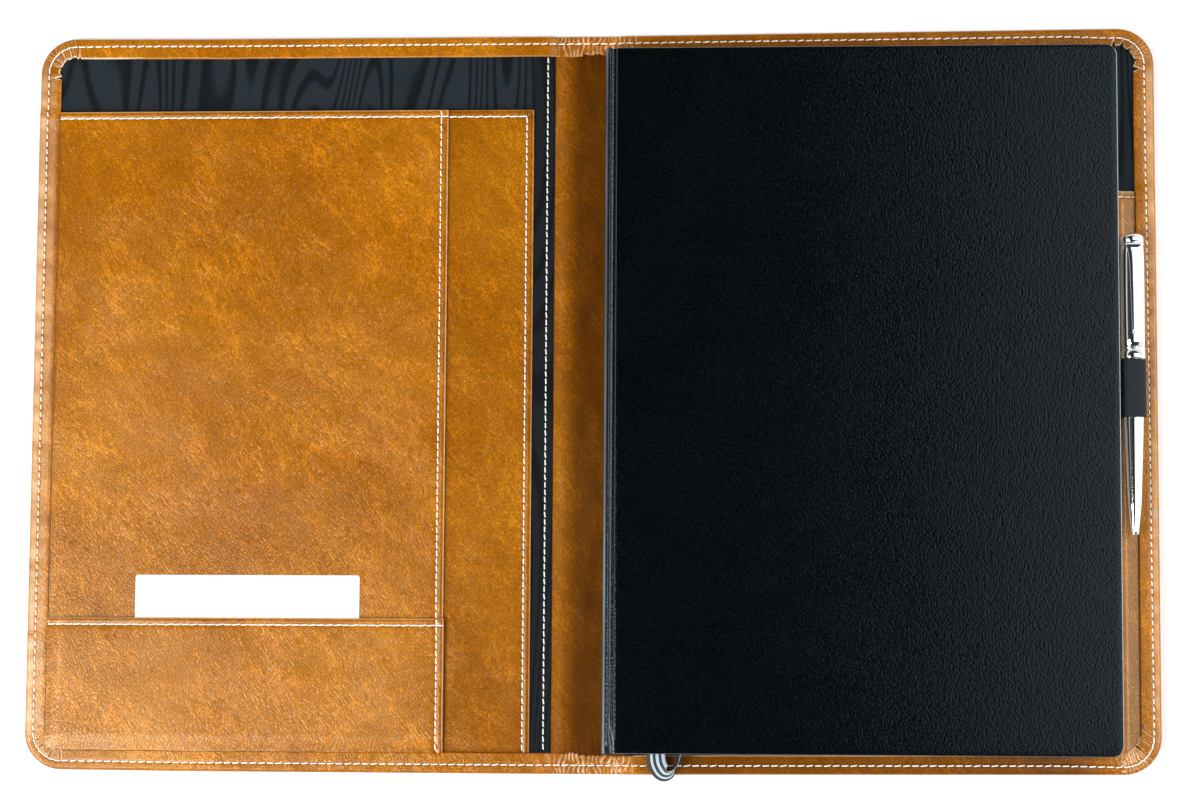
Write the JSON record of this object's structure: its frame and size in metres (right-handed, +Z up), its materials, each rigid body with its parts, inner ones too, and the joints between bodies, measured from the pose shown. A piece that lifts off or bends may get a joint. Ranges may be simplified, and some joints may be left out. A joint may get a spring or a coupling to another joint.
{
  "type": "leather notebook folder",
  "caption": "Open A4 leather folder with inner pockets, a casebound notebook tucked under a slip pocket, a ribbon marker and a twist pen in an elastic loop.",
  "frame": {"origin": "middle of the open folder's underside, in line with the middle of its spine", "axes": "+X across the open folder from the left cover to the right cover, +Y from tail to head, +Z up from the table"},
  "size_m": [0.486, 0.3218, 0.0174],
  "materials": {
    "tan_leather": "semi-gloss pebbled cowhide with cream stitching",
    "moire_lining": "black watermarked cloth",
    "grey_board": "plain grey board",
    "white_card": "smooth white card",
    "casing": "board covered in black leatherette",
    "page_paper": "cream book paper",
    "black_paper": "black endpaper",
    "striped_ribbon": "black and white striped band",
    "elastic": "black woven elastic",
    "chrome": "polished chrome",
    "brass": "plain turned brass"
  },
  "bodies": {
    "right_cover": {"right_outer_leather": "tan_leather", "right_cover_board": "grey_board", "right_lining": "moire_lining", "right_hinge_strip": "tan_leather", "notebook_pocket": "tan_leather", "pen_loop": "elastic"},
    "spine": {"spine_outer_leather": "tan_leather", "spine_inner_leather": "tan_leather"},
    "left_cover": {"left_outer_leather": "tan_leather", "left_cover_board": "grey_board", "left_lining": "moire_lining", "left_hinge_strip": "tan_leather", "document_pocket_back": "tan_leather", "document_pocket_front": "tan_leather", "card_pocket": "tan_leather"},
    "card": {"business_card": "white_card"},
    "notebook": {"notebook_back_board": "casing", "notebook_spine": "casing", "rear_endpaper": "black_paper", "text_block": "page_paper", "head_band": "striped_ribbon", "tail_band": "striped_ribbon", "ribbon_marker": "striped_ribbon"},
    "front_board": {"notebook_front_board": "casing", "front_endpaper": "black_paper"},
    "first_leaf": {"flyleaf": "page_paper"},
    "front_pages": {"front_section": "page_paper"},
    "pen_cap": {"pen_crown": "chrome", "pen_clip": "chrome", "pen_upper_barrel": "chrome", "pen_centre_ring": "chrome", "pen_twist_mechanism": "brass"},
    "pen_barrel": {"pen_lower_barrel": "chrome", "pen_nose_cone": "chrome"},
    "refill": {"pen_refill": "brass"}
  },
  "joints": [
    {"name": "spine_fold", "type": "hinge", "parent": "right_cover", "child": "spine", "pos_m": [0.0058, 0, 0.002], "axis": [0, 1, 0], "range_deg": [0, 90]},
    {"name": "cover_fold", "type": "hinge", "parent": "spine", "child": "left_cover", "pos_m": [-0.013, 0, 0.002], "axis": [0, 1, 0], "range_deg": [0, 90]},
    {"name": "card_slide", "type": "slide", "parent": "left_cover", "child": "card", "axis": [0, -1, 0], "range_m": [-0.045, 0]},
    {"name": "notebook_slide", "type": "slide", "parent": "right_cover", "child": "notebook", "axis": [1, 0, 0], "range_m": [-0.02, 0]},
    {"name": "board_open", "type": "hinge", "parent": "notebook", "child": "front_board", "pos_m": [0.01, 0, 0.0163], "axis": [0, 1, 0], "range_deg": [-180, 0]},
    {"name": "leaf_turn", "type": "hinge", "parent": "notebook", "child": "first_leaf", "pos_m": [0.01, 0, 0.0163], "axis": [0, 1, 0], "range_deg": [-173, 0]},
    {"name": "pages_turn", "type": "hinge", "parent": "notebook", "child": "front_pages", "pos_m": [0.01, 0, 0.0163], "axis": [0, 1, 0], "range_deg": [-166, 0]},
    {"name": "pen_slide", "type": "slide", "parent": "right_cover", "child": "pen_cap", "axis": [0, -1, 0], "range_m": [-0.075, 0]},
    {"name": "pen_twist", "type": "hinge", "parent": "pen_cap", "child": "pen_barrel", "pos_m": [0.232, 0, 0.01025], "axis": [0, 1, 0], "range_deg": [-180, 0]},
    {"name": "refill_travel", "type": "slide", "parent": "pen_cap", "child": "refill", "axis": [0, -1, 0], "range_m": [0, 0.0031]}
  ],
  "couplings": [
    {"joint": "leaf_turn", "follows": "board_open", "ratio": 0.96},
    {"joint": "pages_turn", "follows": "board_open", "ratio": 0.92},
    {"joint": "refill_travel", "follows": "pen_twist", "m_per_rad": -0.00095493}
  ]
}
